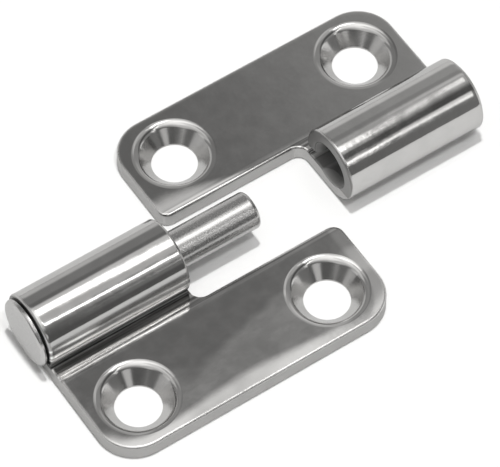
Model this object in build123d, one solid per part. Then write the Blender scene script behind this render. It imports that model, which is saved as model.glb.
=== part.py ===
from build123d import *
import math
import os

# Lift off hinge of polished stainless sheet, lying flat and lifted apart.
# Each leaf is one sheet whose end is rolled over into a knuckle. A headed pin is
# fixed in one knuckle, and a headed plug closes the far end of the other.
# The origin is midway between the pin leaf's screw holes, on its back face.
# X runs along the hinge axis and Z points away from the mounting surface.
# All lengths are in millimetres.

# Leaf sheet
leaf_length = 40.0
leaf_reach = 20.0
sheet = 2.3
corner_radius = 5.0
cut_back = 6.0
notch_radius = 1.5
free_corner_radius = 1.5
edge_round = 0.3

# Rolled knuckle
bore_radius = 2.5
knuckle_length = 19.7
pin_curl_gap = 0.2
socket_curl_gap = 1.2

# Widened mouth of the socket's knuckle
mouth_widening = 0.6
mouth_depth = 1.2
mouth_round = 0.1

# Countersunk screw holes
hole_end_distance = 6.5
hole_side_distance = 6.5
screw_hole_radius = 2.9
sink_radius = 4.7
sink_angle = 82.0
sink_rim_round = 1.3
flat_round_rim = 0.1

# Pin and plug
running_clearance = 0.05
press_overlap = 0.01
pin_reach = 11.8
pin_tip_round = 0.5
head_radius = 4.4
head_thickness = 0.55
head_round = 0.4
head_gap = 0.3
plug_head_radius = 4.2
plug_head_thickness = 0.3
plug_head_round = 0.2
plug_tip_round = 0.3
tip_to_plug = 1.5

# Space between the two knuckles as the hinge lies apart
lift = 23.3

axis_height = bore_radius + sheet
pin_radius = bore_radius - running_clearance
plug_length = knuckle_length - pin_reach - tip_to_plug


def knuckle_profile(curl_gap):
    """Section across the hinge axis: the end of the sheet rolled over almost to its own flat."""
    centre = (0, axis_height)
    tip_drop = math.degrees(math.asin((bore_radius - curl_gap) / axis_height))
    turn = 270 + tip_drop
    outer = CenterArc(centre, axis_height, -90, turn)
    inner = CenterArc(centre, bore_radius, -90, turn)
    tip = Line(outer @ 1, inner @ 1)
    back = Line((-cut_back, 0), outer @ 0)
    front = Line((-cut_back, sheet), inner @ 0)
    end = Line((-cut_back, 0), (-cut_back, sheet))
    return make_face([outer, inner, tip, back, front, end])


def flat_outline():
    """Outline of the leaf's flat, which runs on under the knuckle and is cut back beside it."""
    face = make_face(
        Polyline(
            (0, -leaf_reach),
            (leaf_length, -leaf_reach),
            (leaf_length, -cut_back),
            (knuckle_length, -cut_back),
            (knuckle_length, notch_radius - cut_back),
            (0, notch_radius - cut_back),
            close=True,
        )
    )
    outer_corners = face.vertices().group_by(Axis.Y)[0]
    face = fillet(outer_corners, corner_radius)
    free_corner = face.vertices().group_by(Axis.X)[-1].sort_by(Axis.Y)[-1]
    return fillet(free_corner, free_corner_radius)


def notch_web():
    """Material that rounds the inner corner between the knuckle and the cut back edge."""
    middle = notch_radius / 2
    square = Pos(knuckle_length + middle, middle - cut_back) * Rectangle(notch_radius, notch_radius)
    scoop = Pos(knuckle_length + notch_radius, notch_radius - cut_back) * Circle(notch_radius)
    return square - scoop


def sheet_body(curl_gap):
    """The bent sheet before its holes, with every sharp edge rounded."""
    flat = extrude(flat_outline() + notch_web(), sheet)
    roll = extrude(Plane.YZ * knuckle_profile(curl_gap), knuckle_length)
    body = flat + roll
    upright = body.edges().filter_by(Axis.Z)
    bend = body.edges().filter_by(Axis.X).filter_by_position(Axis.Y, -edge_round, edge_round)
    return fillet(body.edges() - upright - bend, edge_round)


def screw_hole():
    """Cutter for one countersunk hole, centred on the origin and sunk from the front face."""
    sink_depth = (sink_radius - screw_hole_radius) / math.tan(math.radians(sink_angle / 2))
    through = Pos(0, 0, sheet / 2) * Cylinder(screw_hole_radius, 2 * sheet)
    sink = Pos(0, 0, sheet - sink_depth / 2) * Cone(screw_hole_radius, sink_radius, sink_depth)
    return through + sink


def rim_round():
    """Rounding of a sink's rim, no larger than the flat between the sink and the leaf's edges."""
    to_cut_back = leaf_reach - hole_side_distance - cut_back
    nearest_edge = min(hole_end_distance, hole_side_distance, to_cut_back)
    room = nearest_edge - edge_round - flat_round_rim - sink_radius
    lean = math.radians(90 - sink_angle / 2)
    return min(sink_rim_round, room / math.tan(lean / 2))


def leaf(curl_gap):
    """One leaf, with its hinge axis over the X axis and its knuckle's outer end at X = 0."""
    body = sheet_body(curl_gap)
    for x in (hole_end_distance, leaf_length - hole_end_distance):
        body -= Pos(x, hole_side_distance - leaf_reach, 0) * screw_hole()
    circles = body.edges().filter_by(GeomType.CIRCLE)
    rims = circles.filter_by(lambda edge: abs(edge.radius - sink_radius) < sink_rim_round / 100)
    return fillet(rims, rim_round())


def widen_mouth(body):
    """Flares the bore at the knuckle's inner end, to lead the pin in."""
    wide_radius = bore_radius + mouth_widening
    flare = Rot(0, 90, 0) * Cone(bore_radius, wide_radius, mouth_depth)
    body -= Pos(knuckle_length - mouth_depth / 2, 0, axis_height) * flare
    arcs = body.edges().filter_by(GeomType.CIRCLE)
    rim = arcs.filter_by(lambda edge: abs(edge.radius - wide_radius) < mouth_round / 10)
    return fillet(rim, mouth_round)


def rod(radius, start, end):
    """Plain round bar along X."""
    return Pos((start + end) / 2, 0, 0) * Rot(0, 90, 0) * Cylinder(radius, end - start)


def round_ends(body, head_end_round, tip_round):
    """Rounds the outermost edge of a headed bar at its head and at its tip."""
    circles = body.edges().filter_by(GeomType.CIRCLE).sort_by(Axis.X)
    body = fillet(circles[-1], tip_round)
    circles = body.edges().filter_by(GeomType.CIRCLE).sort_by(Axis.X)
    return fillet(circles[0], head_end_round)


def pin():
    """Headed pin, pressed into the pin leaf's knuckle, whose free end guides the other leaf."""
    head = rod(head_radius, -head_gap - head_thickness, -head_gap)
    pressed = rod(bore_radius + press_overlap, -head_gap, knuckle_length - edge_round)
    body = head + pressed + rod(pin_radius, 0, knuckle_length + pin_reach)
    return round_ends(body, head_round, pin_tip_round)


def plug():
    """Short headed plug that closes the outer end of the socket leaf's knuckle."""
    body = rod(plug_head_radius, -plug_head_thickness, 0) + rod(pin_radius, 0, plug_length)
    return round_ends(body, plug_head_round, plug_tip_round)


def place_parts():
    """Every piece where it lies: the pin leaf's screw pattern on the origin, the other lifted off."""
    outer_end = -leaf_length / 2
    axis_y = leaf_reach - hole_side_distance
    far_end = outer_end + 2 * knuckle_length + lift
    pin_side = Pos(outer_end, axis_y, 0)
    socket_side = Pos(far_end, axis_y, 0) * Rot(0, 0, 180)
    on_axis = Pos(0, 0, axis_height)
    return {
        "pin_leaf": pin_side * leaf(pin_curl_gap),
        "hinge_pin": pin_side * on_axis * pin(),
        "socket_leaf": socket_side * widen_mouth(leaf(socket_curl_gap)),
        "end_plug": socket_side * on_axis * plug(),
    }


os.makedirs("parts", exist_ok=True)
for name, piece in place_parts().items():
    piece.label = name
    export_step(piece, f"parts/{name}.step")
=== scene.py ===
import math

import bpy
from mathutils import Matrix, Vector

# Looks for the lift off hinge: polished leaves, a ground pin and plug, a white table and a soft
# studio. The scene is in metres. Places on the pieces, and their relief, are in millimetres.

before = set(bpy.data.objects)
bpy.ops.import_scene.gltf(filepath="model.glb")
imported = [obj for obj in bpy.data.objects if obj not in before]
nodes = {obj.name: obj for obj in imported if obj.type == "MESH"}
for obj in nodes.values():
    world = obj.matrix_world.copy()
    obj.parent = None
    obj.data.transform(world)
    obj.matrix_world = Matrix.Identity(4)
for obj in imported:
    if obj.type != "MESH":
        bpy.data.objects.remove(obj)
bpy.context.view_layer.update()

METRE = 1000.0

# Camera: angles in degrees
AZIMUTH = -33.757
ELEVATION = 56.0
DISTANCE = 0.46312
TARGET = Vector((0.011195, 0.013253, 0.0))
LENS = 273.88
SENSOR_WIDTH = 36.0
CLIP_START = 0.01
CLIP_END = 20.0

# Table: a square just under the part, with faint clouds (scale and detail of their noise)
TABLE_HALF = 3.0
TABLE_HEIGHT = -2e-5
TABLE_CLOUDS = (6.0, 2.0)
CLOUD_RANGE = (0.2, 0.8)
TABLE_GREYS = (0.875, 0.895)
TABLE_TINT = (1.0, 1.0, 0.995)
TABLE_GLOW = 0.01

# Lamps for the table and other matt surfaces: name, place, size and power
LAMPS = (
    ("key", (0.015, 0.000, 0.75), 0.05, 2.95),
    ("fill", (0.005, -0.230, 0.70), 0.08, 1.15),
)

# The studio's dome is laid out by two measures of a direction: its turn, in degrees round the
# hinge axis from straight up towards -Y, and its share along the axis, from -1 to 1.
# Slanted soft boxes: degrees of turn per unit of share, the share in the middle, most degrees
SLANTS = {
    "overhead": (375.0, 0.276, 4.0),
    "front": (125.0, 0.255, 14.0),
    "mouth": (-400.0, 0.338, 8.0),
}

# Soft boxes: slant, (low, high, fade) of the turn, (low, high, fade) of the share, strength
SOFT_BOXES = (
    ("overhead", (-8.0, 8.0, 4.0), (0.16, 0.340, 0.010), 3.4),
    ("upright", (-24.5, 9.0, 3.5), (-0.20, 0.318, 0.010), 0.70),
    ("upright", (-20.0, 10.0, 5.0), (0.325, 0.60, 0.010), 0.24),
    ("upright", (-24.5, -16.0, 3.0), (0.356, 0.60, 0.004), 0.30),
    ("front", (33.5, 38.5, 2.0), (0.17, 0.310, 0.006), 4.5),
    ("upright", (56.0, 72.0, 4.0), (0.266, 0.310, 0.008), 0.13),
    ("upright", (40.0, 51.0, 3.0), (0.266, 0.310, 0.008), 0.35),
    ("mouth", (50.3, 53.7, 1.5), (0.310, 0.353, 0.004), 4.2),
    ("upright", (48.0, 60.0, 3.0), (0.310, 0.340, 0.002), 1.3),
    ("upright", (6.0, 22.0, 3.0), (0.310, 0.340, 0.002), 1.1),
    ("upright", (-9.0, 5.0, 3.0), (0.3715, 0.386, 0.002), 1.6),
    ("upright", (48.0, 56.0, 2.5), (0.374, 0.386, 0.002), 1.5),
    ("upright", (-33.0, 20.0, 6.0), (-0.60, 0.05, 0.08), 0.30),
    ("upright", (-14.0, 46.0, 8.0), (-0.80, 0.20, 0.05), 0.65),
    ("upright", (-95.0, -70.0, 6.0), (-0.9, 0.9, 0.15), 0.44),
    ("upright", (9.0, 32.0, 4.0), (-0.5, 0.315, 0.02), 0.50),
    ("upright", (-95.0, -38.0, 4.0), (-0.9, 0.9, 0.15), 0.09),
    ("upright", (-50.0, -14.0, 6.0), (-0.85, -0.42, 0.10), 0.50),
    ("upright", (39.0, 53.0, 3.0), (0.354, 0.41, 0.004), 0.90),
)

# Round soft lights: direction, radius in degrees, strength
DISCS = (
    ((-0.92, 0.28, 0.26), 15.0, 0.45),
    ((-0.06, -0.93, 0.37), 10.0, 0.70),
    ((0.89, -0.44, 0.14), 12.0, 0.85),
    ((0.70, 0.55, 0.46), 14.0, 0.12),
)
DISC_FADE = 0.25

# The dome's own grey, from the low end of the axis to the high end, with a darker pit and horizon
DOME_SHARES = (0.30, 0.375)
DOME_GREYS = (0.215, 0.40)
PIT_TURNS = (18.0, 42.0, 6.0)
PIT_SHARES = (0.315, 0.345)
PIT_DEPTH = 0.70
HORIZON_TURNS = (40.0, 70.0)
HORIZON_GREY = 0.62
DOME_TINT = (1.0, 0.995, 0.985)
BACKDROP = (1.0, 1.0, 1.0, 1.0)

# Part of the dome's light that matt surfaces get, since the lamps give them the rest
MATT_SHARE = 0.60

# Leaf, in its own frame: x from its knuckle's outer end, y from the hinge axis, z from its back
LEAF_LENGTH = 40.0
LEAF_REACH = 20.0
CORNER_RADIUS = 5.0
CUT_BACK = 6.0
NOTCH_RADIUS = 1.5
KNUCKLE_LENGTH = 19.7
HOLES = ((6.5, -13.5), (33.5, -13.5))
AXIS_HEIGHT = 4.8
BORE_RADIUS = 2.5
MOUTH_RADIUS = 3.1

# Masks of a leaf that go from one level to the other between two places
KNUCKLE_HEIGHTS = (2.35, 2.5)
SKIN_RADII = (4.4, 4.6)
SKIN_HEIGHTS = (2.0, 2.6)
MOUTH_RADII = (MOUTH_RADIUS, MOUTH_RADIUS + 0.15)
END_ROUND = (0.25, 0.45)
EDGE_ROUND = (0.25, 0.5)
SINK_RADII = (4.3, 4.4)
RIM_RADII = (4.5, 5.2)
BEND_HEIGHTS = (3.0, 4.0)
FLAT_END = (-4.6, -4.0)
FACING_ALONG = (0.6, 0.95)
FACING_UP = (0.30, 0.75)

# Masks of a leaf that reach from one place to another, with their fade
GAP_ACROSS = (-4.6, -1.5, 0.2)
GAP_HEIGHTS = (2.1, 3.9, 0.15)
BEND_ACROSS = (-6.8, -3.4, 0.5)

# Edges of a leaf, rolled by polishing: widths, and slopes at the edge
SOFT_SLOPE = 0.10
EDGE_WIDTH = 0.5
EDGE_SLOPE = 0.12
KNUCKLE_END_WIDTH = 0.7
KNUCKLE_END_SLOPE = 0.25
MIDDLE = (13.0, 26.0, 6.0)
FREE_CORNER = (LEAF_LENGTH - 14.0, LEAF_LENGTH - 1.0)

# Noises of a leaf: scale and detail, and before them, where the noise is drawn out along the
# hinge axis, how much x is scaled and how much y and z are
WAVES = (0.16, 1.0)
PEEL = (1.4, 2.0)
HAZE = (0.5, 3.0)
GRAIN = (0.25, 6.0, 3.0, 3.0)
DRAWN = (0.04, 1.6, 1.0, 3.0)
STREAKS = (0.03, 2.6, 1.0, 2.0)
MOST_NOISE = (0.3, 0.7)

# Relief of a leaf
WAVE_HEIGHTS = (0.030, 0.018)
WAVE_CHANGE = (2.4, 4.0)
DRAWN_HEIGHT = 0.016
PEEL_HEIGHT = 0.0020
GRAIN_HEIGHT = 0.0007
TURNING_HEIGHT = 0.0007
TURNING_PITCH = 52.0

# Roughness and tone of a leaf, and what its masks add to them
LEAF_ROUGHNESS = (0.045, 0.08)
LEAF_ROUGHER = {"grain": 0.03, "rims": 0.07, "rounded": 0.20, "cut_face": 0.16, "bore": 0.55}
LEAF_TONE = (0.485, 0.515)
LEAF_LIGHTER = {"grain": 0.03}
# Painted shade in the bore, deeper in it, in the gap under the curl, on the cut faces and end
# rings
LEAF_PAINTED_SHADE = {"bore": -0.16, "deep": -0.20, "gap": -0.14, "cut_face": -0.10, "ring": -0.13}
LEAF_TINT = (1.0, 0.992, 0.98)
# Painted reflection streaks along the bend: noise range, and their dark and light tones
STREAK_RANGE = (0.40, 0.60)
STREAK_PAINTED_REFLECTION = (-0.20, 0.34)
BORE_METAL_LOSS = -0.6
# Wobble and edge fade of the painted reflection lines round the knuckle
LINE_WOBBLE = 6.0
LINE_FADE = 0.5

# Pin and plug
PIN_SCRATCHES = (0.25, 5.0, 1.0, 2.0)
PIN_SPECKS = (5.0, 3.0)
PIN_SCRATCH_HEIGHT = 0.0022
PIN_SPECK_HEIGHT = 0.0006
PIN_ROUGHNESS = (0.17, 0.25)
PIN_SCRATCH_ROUGHNESS = 0.06
PIN_TONE = (0.45, 0.53)
PIN_SCRATCH_TONE = 0.04
PIN_TINT = (1.0, 0.992, 0.982)

METAL_EDGE_TINT = (0.72, 0.72, 0.72, 1.0)

# Each leaf: place of its own frame (x, y and direction), widths of its rolled outer edge at the
# ends and in the middle, widths of its rolled cut back edge beside the knuckle and at the free
# corner, how much steeper it is there, and the painted reflection lines, light and dark, along
# its
# knuckle: angle round the knuckle at its outer end, drift per millimetre, half the width, and
# tone
PIN_LEAF = {
    "place": (-20.0, 13.5, 1.0),
    "outer_widths": (1.9, 2.8),
    "cut_widths": (0.7, 0.7),
    "corner_fall": 1.0,
    "painted_reflection_lines": (
        (75.5, 0.28, 2.0, 0.50),
        (82.0, 0.28, 1.4, -0.16),
        (89.0, 0.28, 3.0, 0.50),
        (97.5, 0.12, 1.6, 0.45),
    ),
}
SOCKET_LEAF = {
    "place": (42.7, 13.5, -1.0),
    "outer_widths": (0.8, 0.8),
    "cut_widths": (0.8, 4.2),
    "corner_fall": 1.2,
    "painted_reflection_lines": ((62.5, 0.0, 2.0, -0.10),),
}


class Graph:
    """Short calls that add nodes to one node tree."""

    def __init__(self, tree):
        self.tree = tree
        self.tree.nodes.clear()

    def node(self, kind, **settings):
        made = self.tree.nodes.new(kind)
        for key, value in settings.items():
            setattr(made, key, value)
        return made

    def put(self, socket, value):
        """Links an output to the socket, or sets the socket's own value."""
        if isinstance(value, bpy.types.NodeSocket):
            self.tree.links.new(value, socket)
        else:
            socket.default_value = value

    def math(self, operation, *values):
        made = self.node("ShaderNodeMath", operation=operation)
        for socket, value in zip(made.inputs, values):
            self.put(socket, value)
        return made.outputs[0]

    def times(self, a, b):
        return self.math("MULTIPLY", a, b)

    def minus(self, a, b):
        return self.math("SUBTRACT", a, b)

    def larger(self, a, b):
        return self.math("MAXIMUM", a, b)

    def smaller(self, a, b):
        return self.math("MINIMUM", a, b)

    def size(self, value):
        """The value without its sign."""
        return self.math("ABSOLUTE", value)

    def line(self, value, slope, start):
        """Straight line: start plus value times slope."""
        return self.math("MULTIPLY_ADD", value, slope, start)

    def total(self, values):
        """Sum of several sockets."""
        result = values[0]
        for value in values[1:]:
            result = self.math("ADD", result, value)
        return result

    def length(self, a, b):
        """Length of the vector with these two parts."""
        return self.math("SQRT", self.total([self.times(a, a), self.times(b, b)]))

    def rise(self, value, low, high, start=0.0, end=1.0):
        """Smooth step from start to end as value goes from low to high."""
        made = self.node("ShaderNodeMapRange", interpolation_type="SMOOTHSTEP")
        names = ("Value", "From Min", "From Max", "To Min", "To Max")
        for name, given in zip(names, (value, low, high, start, end)):
            self.put(made.inputs[name], given)
        return made.outputs["Result"]

    def drop(self, value, low, high):
        """Smooth step from 1 to 0 as value goes from low to high."""
        return self.rise(value, low, high, 1.0, 0.0)

    def band(self, value, low, high, fade):
        """1 between low and high, fading on both sides."""
        up = self.rise(value, low - fade, low + fade)
        return self.times(up, self.drop(value, high - fade, high + fade))

    def combine(self, *parts):
        made = self.node("ShaderNodeCombineXYZ")
        for socket, value in zip(made.inputs, parts):
            self.put(socket, value)
        return made.outputs[0]

    def separate(self, vector):
        made = self.node("ShaderNodeSeparateXYZ")
        self.put(made.inputs[0], vector)
        return made.outputs

    def place(self):
        """Place on the object, in metres."""
        return self.node("ShaderNodeTexCoord").outputs["Object"]

    def noise(self, vector, scale, detail):
        made = self.node("ShaderNodeTexNoise")
        self.put(made.inputs["Vector"], vector)
        self.put(made.inputs["Scale"], scale)
        self.put(made.inputs["Detail"], detail)
        return made.outputs["Fac"]

    def drawn_out(self, parts, along, over, scale, detail):
        """Noise of a place whose x is scaled by along, and its y and z by over."""
        x, y, z = parts
        spot = self.combine(self.times(x, along), self.times(y, over), self.times(z, over))
        return self.noise(spot, scale, detail)

    def grey(self, value, tint):
        """Colour of that level with a fixed tint."""
        made = self.node("ShaderNodeCombineColor")
        for socket, share in zip(made.inputs, tint):
            self.put(socket, self.times(value, share))
        return made.outputs[0]


def new_material(name):
    material = bpy.data.materials.new(name)
    material.use_nodes = True
    return material, Graph(material.node_tree)


def add_object(name, data):
    made = bpy.data.objects.new(name, data)
    bpy.context.scene.collection.objects.link(made)
    return made


def aim(thing, place, direction):
    """Puts a camera or a lamp in its place, facing along a direction."""
    thing.location = place
    thing.rotation_mode = "QUATERNION"
    thing.rotation_quaternion = direction.to_track_quat("-Z", "Y")


def make_camera():
    azimuth = math.radians(AZIMUTH)
    elevation = math.radians(ELEVATION)
    flat = math.cos(elevation)
    back = Vector((math.sin(azimuth) * flat, -math.cos(azimuth) * flat, math.sin(elevation)))
    data = bpy.data.cameras.new("camera")
    data.lens = LENS
    data.sensor_width = SENSOR_WIDTH
    data.clip_start = CLIP_START
    data.clip_end = CLIP_END
    camera = add_object("camera", data)
    aim(camera, TARGET + back * DISTANCE, -back)
    bpy.context.scene.camera = camera


def seen_directly(g):
    """1 for rays from the camera, mirrored rays and rays through glass, otherwise 0."""
    path = g.node("ShaderNodeLightPath")
    seen = g.larger(path.outputs["Is Camera Ray"], path.outputs["Is Glossy Ray"])
    return g.larger(seen, path.outputs["Is Transmission Ray"])


def table_material():
    """Matt white with faint clouds, and a trace of glow where it is seen or mirrored."""
    material, g = new_material("white_table")
    shade = g.rise(g.noise(g.place(), *TABLE_CLOUDS), *CLOUD_RANGE, *TABLE_GREYS)
    base = g.node("ShaderNodeBsdfDiffuse")
    g.put(base.inputs["Color"], g.grey(shade, TABLE_TINT))
    glow = g.node("ShaderNodeEmission")
    g.put(glow.inputs["Strength"], g.times(seen_directly(g), TABLE_GLOW))
    added = g.node("ShaderNodeAddShader")
    g.put(added.inputs[0], base.outputs[0])
    g.put(added.inputs[1], glow.outputs[0])
    g.put(g.node("ShaderNodeOutputMaterial").inputs["Surface"], added.outputs[0])
    return material


def make_floor():
    mesh = bpy.data.meshes.new("floor")
    corners = ((-1, -1), (1, -1), (1, 1), (-1, 1))
    points = [(x * TABLE_HALF, y * TABLE_HALF, TABLE_HEIGHT) for x, y in corners]
    mesh.from_pydata(points, [], [(0, 1, 2, 3)])
    mesh.materials.append(table_material())
    floor = add_object("floor", mesh)


def make_lamp(name, place, size, power):
    """Soft round lamp aimed at the hinge. It lights matt surfaces and isn't mirrored or seen."""
    data = bpy.data.lights.new(name, "AREA")
    data.shape = "DISK"
    data.size = size
    data.energy = power
    lamp = add_object(name, data)
    aim(lamp, place, TARGET - Vector(place))
    lamp.visible_glossy = False
    lamp.visible_camera = False


def slanted(g, turn, share, slope, middle, most):
    """Turn measured from a line that leans along the axis, so that a soft box lies at a slant."""
    slant = g.times(g.minus(share, middle), slope)
    return g.minus(turn, g.smaller(g.larger(slant, -most), most))


def soft_box_lights(g, turn, share):
    turns = {"upright": turn}
    for name, slant in SLANTS.items():
        turns[name] = slanted(g, turn, share, *slant)
    lights = []
    for name, over, along, strength in SOFT_BOXES:
        area = g.times(g.band(turns[name], *over), g.band(share, *along))
        lights.append(g.times(area, strength))
    return lights


def disc_lights(g, direction):
    lights = []
    for axis, radius, strength in DISCS:
        dot = g.node("ShaderNodeVectorMath", operation="DOT_PRODUCT")
        g.put(dot.inputs[0], direction)
        g.put(dot.inputs[1], Vector(axis).normalized())
        outer = math.cos(math.radians(radius * (1.0 + DISC_FADE)))
        inner = math.cos(math.radians(radius * (1.0 - DISC_FADE)))
        lights.append(g.rise(dot.outputs["Value"], outer, inner, 0.0, strength))
    return lights


def dome_level(g, turn, share):
    """The dome between its lights."""
    base = g.rise(share, *DOME_SHARES, *DOME_GREYS)
    pit = g.times(g.band(turn, *PIT_TURNS), g.rise(share, *PIT_SHARES, 0.0, PIT_DEPTH))
    horizon = g.rise(turn, *HORIZON_TURNS, 1.0, HORIZON_GREY)
    return g.times(base, g.times(g.minus(1.0, pit), horizon))


def make_studio():
    """The dome that lights the table and is mirrored in the metal. The camera sees it white."""
    world = bpy.data.worlds.new("studio")
    bpy.context.scene.world = world
    world.use_nodes = True
    g = Graph(world.node_tree)
    direction = g.node("ShaderNodeTexCoord").outputs["Generated"]
    share, deep, high = g.separate(direction)
    turn = g.times(g.math("ARCTAN2", g.times(deep, -1.0), high), math.degrees(1.0))
    lights = soft_box_lights(g, turn, share) + disc_lights(g, direction)
    mirrored = g.total([dome_level(g, turn, share)] + lights)
    level = g.times(mirrored, g.rise(seen_directly(g), 0.0, 1.0, MATT_SHARE, 1.0))
    mix = g.node("ShaderNodeMix", data_type="RGBA")
    g.put(mix.inputs["Factor"], g.node("ShaderNodeLightPath").outputs["Is Camera Ray"])
    g.put(mix.inputs["A"], g.grey(level, DOME_TINT))
    g.put(mix.inputs["B"], BACKDROP)
    background = g.node("ShaderNodeBackground")
    g.put(background.inputs["Color"], mix.outputs["Result"])
    g.put(g.node("ShaderNodeOutputWorld").inputs["Surface"], background.outputs[0])


def outer_distance(g, x, y):
    """How far inside the leaf's outer edges a point lies, round their corners."""
    half = LEAF_LENGTH / 2 - CORNER_RADIUS
    past_x = g.minus(g.size(g.minus(x, LEAF_LENGTH / 2)), half)
    past_y = g.minus(CORNER_RADIUS - LEAF_REACH, y)
    corner = g.length(g.larger(past_x, 0.0), g.larger(past_y, 0.0))
    inside = g.smaller(g.larger(past_x, past_y), 0.0)
    return g.minus(CORNER_RADIUS, g.total([corner, inside]))


def cut_distance(g, x, y):
    """How far a point lies from the cut back edge beside the knuckle."""
    beside = g.larger(g.minus(KNUCKLE_LENGTH + NOTCH_RADIUS, x), 0.0)
    before = g.larger(g.minus(-CUT_BACK, y), 0.0)
    return g.length(beside, before)


def hole_distance(g, x, y):
    """How far a point lies from the axis of the nearer hole."""
    first, second = (g.length(g.minus(x, along), g.minus(y, out)) for along, out in HOLES)
    return g.smaller(first, second)


class Leaf:
    """Places on a leaf in its own frame, and masks from 0 to 1, as sockets of its material."""

    def __init__(self, g, place):
        x0, y0, way = place
        x, y, z = g.separate(g.place())
        self.x = g.line(x, METRE * way, -x0 * way)
        self.y = g.line(y, METRE * way, -y0 * way)
        self.z = g.times(z, METRE)
        self.parts = (self.x, self.y, self.z)
        self.above_axis = g.minus(self.z, AXIS_HEIGHT)
        self.radius = g.length(self.y, self.above_axis)
        self.outer = outer_distance(g, self.x, self.y)
        self.cut = cut_distance(g, self.x, self.y)
        self.hole = hole_distance(g, self.x, self.y)
        self.grain = g.drawn_out(self.parts, *GRAIN)
        self.rolled = g.rise(self.z, *KNUCKLE_HEIGHTS)
        self.sheet = g.drop(self.z, *KNUCKLE_HEIGHTS)
        self.mark_hollows(g)
        self.mark_cut_faces(g)
        self.mark_rounds(g)

    def mark_hollows(self, g):
        """The gap under the curl, the bore with its mouth and that gap, and the bore's inside."""
        self.gap = g.times(g.band(self.y, *GAP_ACROSS), g.band(self.z, *GAP_HEIGHTS))
        self.bore = g.larger(g.drop(self.radius, *MOUTH_RADII), self.gap)
        self.deep = g.drop(self.radius, BORE_RADIUS, MOUTH_RADIUS)

    def mark_cut_faces(self, g):
        """All cut faces of the sheet, and the ring at each end of the knuckle."""
        normal = g.separate(g.node("ShaderNodeNewGeometry").outputs["True Normal"])
        ends = g.rise(g.size(normal[0]), *FACING_ALONG)
        sides = g.times(g.drop(g.size(normal[2]), *FACING_UP), g.drop(self.y, *FLAT_END))
        self.cut_face = g.larger(ends, sides)
        self.ring = g.times(ends, self.rolled)

    def mark_rounds(self, g):
        """Rounded edges, rims of the sinks, and the bend from the flat to the knuckle."""
        near, far = END_ROUND
        inner_end = g.rise(self.x, KNUCKLE_LENGTH - far, KNUCKLE_LENGTH - near)
        ends = g.larger(inner_end, g.drop(self.x, near, far))
        borders = g.larger(g.drop(self.outer, *EDGE_ROUND), g.drop(self.cut, *EDGE_ROUND))
        self.rounded = g.larger(g.times(ends, self.rolled), g.times(borders, self.sheet))
        self.rims = g.drop(self.hole, *RIM_RADII)
        self.bend = g.times(g.band(self.y, *BEND_ACROSS), g.drop(self.z, *BEND_HEIGHTS))

    def weighed(self, g, weights):
        """Some of the masks, each times its weight."""
        return [g.times(getattr(self, name), weight) for name, weight in weights.items()]


def fall(g, distance, width, slope):
    """Relief that falls away towards an edge, flat beyond width and sloping most at the edge."""
    share = g.larger(g.minus(1.0, g.math("DIVIDE", distance, width)), 0.0)
    return g.times(g.times(width, -slope / 2), g.times(share, share))


def edge_relief(g, leaf, outer_widths, cut_widths, corner_fall):
    """Edges of the flat and outer end of the knuckle, rolled by polishing."""
    at_ends, in_middle = outer_widths
    outer_width = g.line(g.band(leaf.x, *MIDDLE), in_middle - at_ends, at_ends)
    cut_width = g.rise(leaf.x, *FREE_CORNER, *cut_widths)
    steeper = g.rise(leaf.x, KNUCKLE_LENGTH, LEAF_LENGTH, 1.0, corner_fall)
    edges = g.total([
        fall(g, leaf.outer, outer_width, SOFT_SLOPE),
        g.times(fall(g, leaf.cut, cut_width, SOFT_SLOPE), steeper),
        fall(g, leaf.outer, EDGE_WIDTH, EDGE_SLOPE),
        fall(g, leaf.cut, EDGE_WIDTH, EDGE_SLOPE),
    ])
    end = fall(g, g.larger(leaf.x, 0.0), KNUCKLE_END_WIDTH, KNUCKLE_END_SLOPE)
    return g.total([g.times(edges, leaf.sheet), g.times(end, leaf.rolled)])


def turning_marks(g, leaf):
    """Fine rings that machining left in the sinks."""
    wave = g.math("SINE", g.times(leaf.hole, TURNING_PITCH))
    return g.times(g.times(wave, g.drop(leaf.hole, *SINK_RADII)), TURNING_HEIGHT)


def painted_line_reflections(g, leaf, waves, painted_reflection_lines):
    """Painted reflection lines along the knuckle, light and dark, wavering a little."""
    angle = g.math("ARCTAN2", g.times(leaf.y, -1.0), leaf.above_axis)
    turned = g.line(angle, math.degrees(1.0), g.times(waves, LINE_WOBBLE))
    skin = g.times(g.rise(leaf.radius, *SKIN_RADII), g.rise(leaf.z, *SKIN_HEIGHTS))
    tones = []
    for start, drift, half, tone in painted_reflection_lines:
        middle = g.line(leaf.x, drift, start + LINE_WOBBLE / 2)
        away = g.size(g.minus(turned, middle))
        tones.append(g.rise(away, half * (1.0 - LINE_FADE), half * (1.0 + LINE_FADE), tone, 0.0))
    return g.times(g.total(tones), skin)


def painted_streak_reflections(g, leaf):
    """Painted reflection streaks along the bend, light and dark, drawn out along the axis."""
    streaks = g.rise(g.drawn_out(leaf.parts, *STREAKS), *STREAK_RANGE, *STREAK_PAINTED_REFLECTION)
    return g.times(streaks, g.times(leaf.bend, g.minus(1.0, leaf.cut_face)))


def finish_metal(g, colour, roughness, relief, metallic=1.0):
    """Metal shader with relief in millimetres."""
    bump = g.node("ShaderNodeBump")
    g.put(bump.inputs["Strength"], 1.0)
    g.put(bump.inputs["Distance"], 1.0 / METRE)
    g.put(bump.inputs["Height"], relief)
    shader = g.node("ShaderNodeBsdfPrincipled")
    g.put(shader.inputs["Metallic"], metallic)
    g.put(shader.inputs["Specular Tint"], METAL_EDGE_TINT)
    g.put(shader.inputs["Base Color"], colour)
    g.put(shader.inputs["Roughness"], roughness)
    g.put(shader.inputs["Normal"], bump.outputs["Normal"])
    g.put(g.node("ShaderNodeOutputMaterial").inputs["Surface"], shader.outputs[0])


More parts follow.
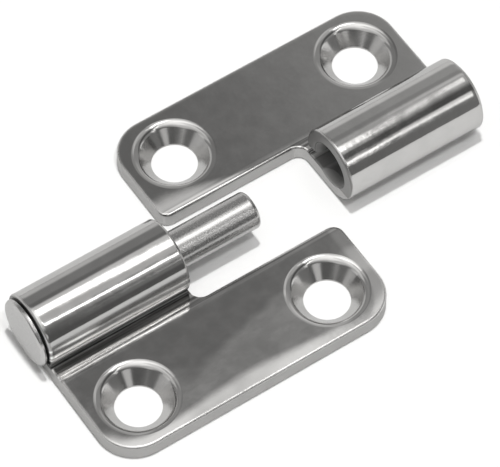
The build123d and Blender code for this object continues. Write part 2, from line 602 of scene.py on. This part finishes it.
def polished_leaf(name, place, outer_widths, cut_widths, corner_fall, painted_reflection_lines):
    """Polished sheet: soft waves, rolled edges, fine grain, machined sinks, a drawn bend, painted
    reflections and painted shade.
    """
    material, g = new_material(name)
    leaf = Leaf(g, place)
    spot = g.combine(*leaf.parts)
    waves = g.noise(spot, *WAVES)
    haze = g.noise(spot, *HAZE)
    relief = g.total([
        edge_relief(g, leaf, outer_widths, cut_widths, corner_fall),
        turning_marks(g, leaf),
        g.times(waves, g.rise(leaf.z, *WAVE_CHANGE, *WAVE_HEIGHTS)),
        g.times(g.times(g.drawn_out(leaf.parts, *DRAWN), leaf.bend), DRAWN_HEIGHT),
        g.times(g.noise(spot, *PEEL), PEEL_HEIGHT),
        g.times(leaf.grain, GRAIN_HEIGHT),
    ])
    rougher = leaf.weighed(g, LEAF_ROUGHER)
    roughness = g.total([g.rise(haze, *MOST_NOISE, *LEAF_ROUGHNESS)] + rougher)
    # Painted reflections: light and dark lines round the knuckle and streaks along the bend
    painted_reflection_tones = [painted_line_reflections(g, leaf, waves, painted_reflection_lines), painted_streak_reflections(g, leaf)]
    # Grain, and painted shade in the bore, the gap under the curl, the cut faces and the
    # knuckle's end rings
    grain_and_painted_shade = leaf.weighed(g, LEAF_LIGHTER) + leaf.weighed(g, LEAF_PAINTED_SHADE)
    tone = g.total([g.rise(haze, *MOST_NOISE, *LEAF_TONE)] + painted_reflection_tones + grain_and_painted_shade)
    metallic = g.line(leaf.bore, BORE_METAL_LOSS, 1.0)
    finish_metal(g, g.grey(tone, LEAF_TINT), roughness, relief, metallic)
    return material


def ground_pin(name):
    """Ground round bar, speckled, with fine scratches along it."""
    material, g = new_material(name)
    parts = [g.times(part, METRE) for part in g.separate(g.place())]
    scratches = g.drawn_out(parts, *PIN_SCRATCHES)
    specks = g.noise(g.combine(*parts), *PIN_SPECKS)
    relief = g.line(scratches, PIN_SCRATCH_HEIGHT, g.times(specks, PIN_SPECK_HEIGHT))
    roughness = g.rise(specks, *MOST_NOISE, *PIN_ROUGHNESS)
    roughness = g.line(scratches, PIN_SCRATCH_ROUGHNESS, roughness)
    tone = g.line(scratches, PIN_SCRATCH_TONE, g.rise(specks, *MOST_NOISE, *PIN_TONE))
    finish_metal(g, g.grey(tone, PIN_TINT), roughness, relief)
    return material


def paint(node, material):
    """Gives a CAD node its material in every slot, adding a slot if it has none."""
    if not node.material_slots:
        node.data.materials.append(material)
    for own in node.material_slots:
        own.material = material


bpy.context.scene.view_settings.view_transform = "Standard"
make_camera()
make_floor()
make_studio()
for settings in LAMPS:
    make_lamp(*settings)

paint(nodes["pin_leaf"], polished_leaf("pin_leaf_polished", **PIN_LEAF))
paint(nodes["socket_leaf"], polished_leaf("socket_leaf_polished", **SOCKET_LEAF))
paint(nodes["hinge_pin"], ground_pin("hinge_pin_ground"))
paint(nodes["end_plug"], ground_pin("end_plug_ground"))
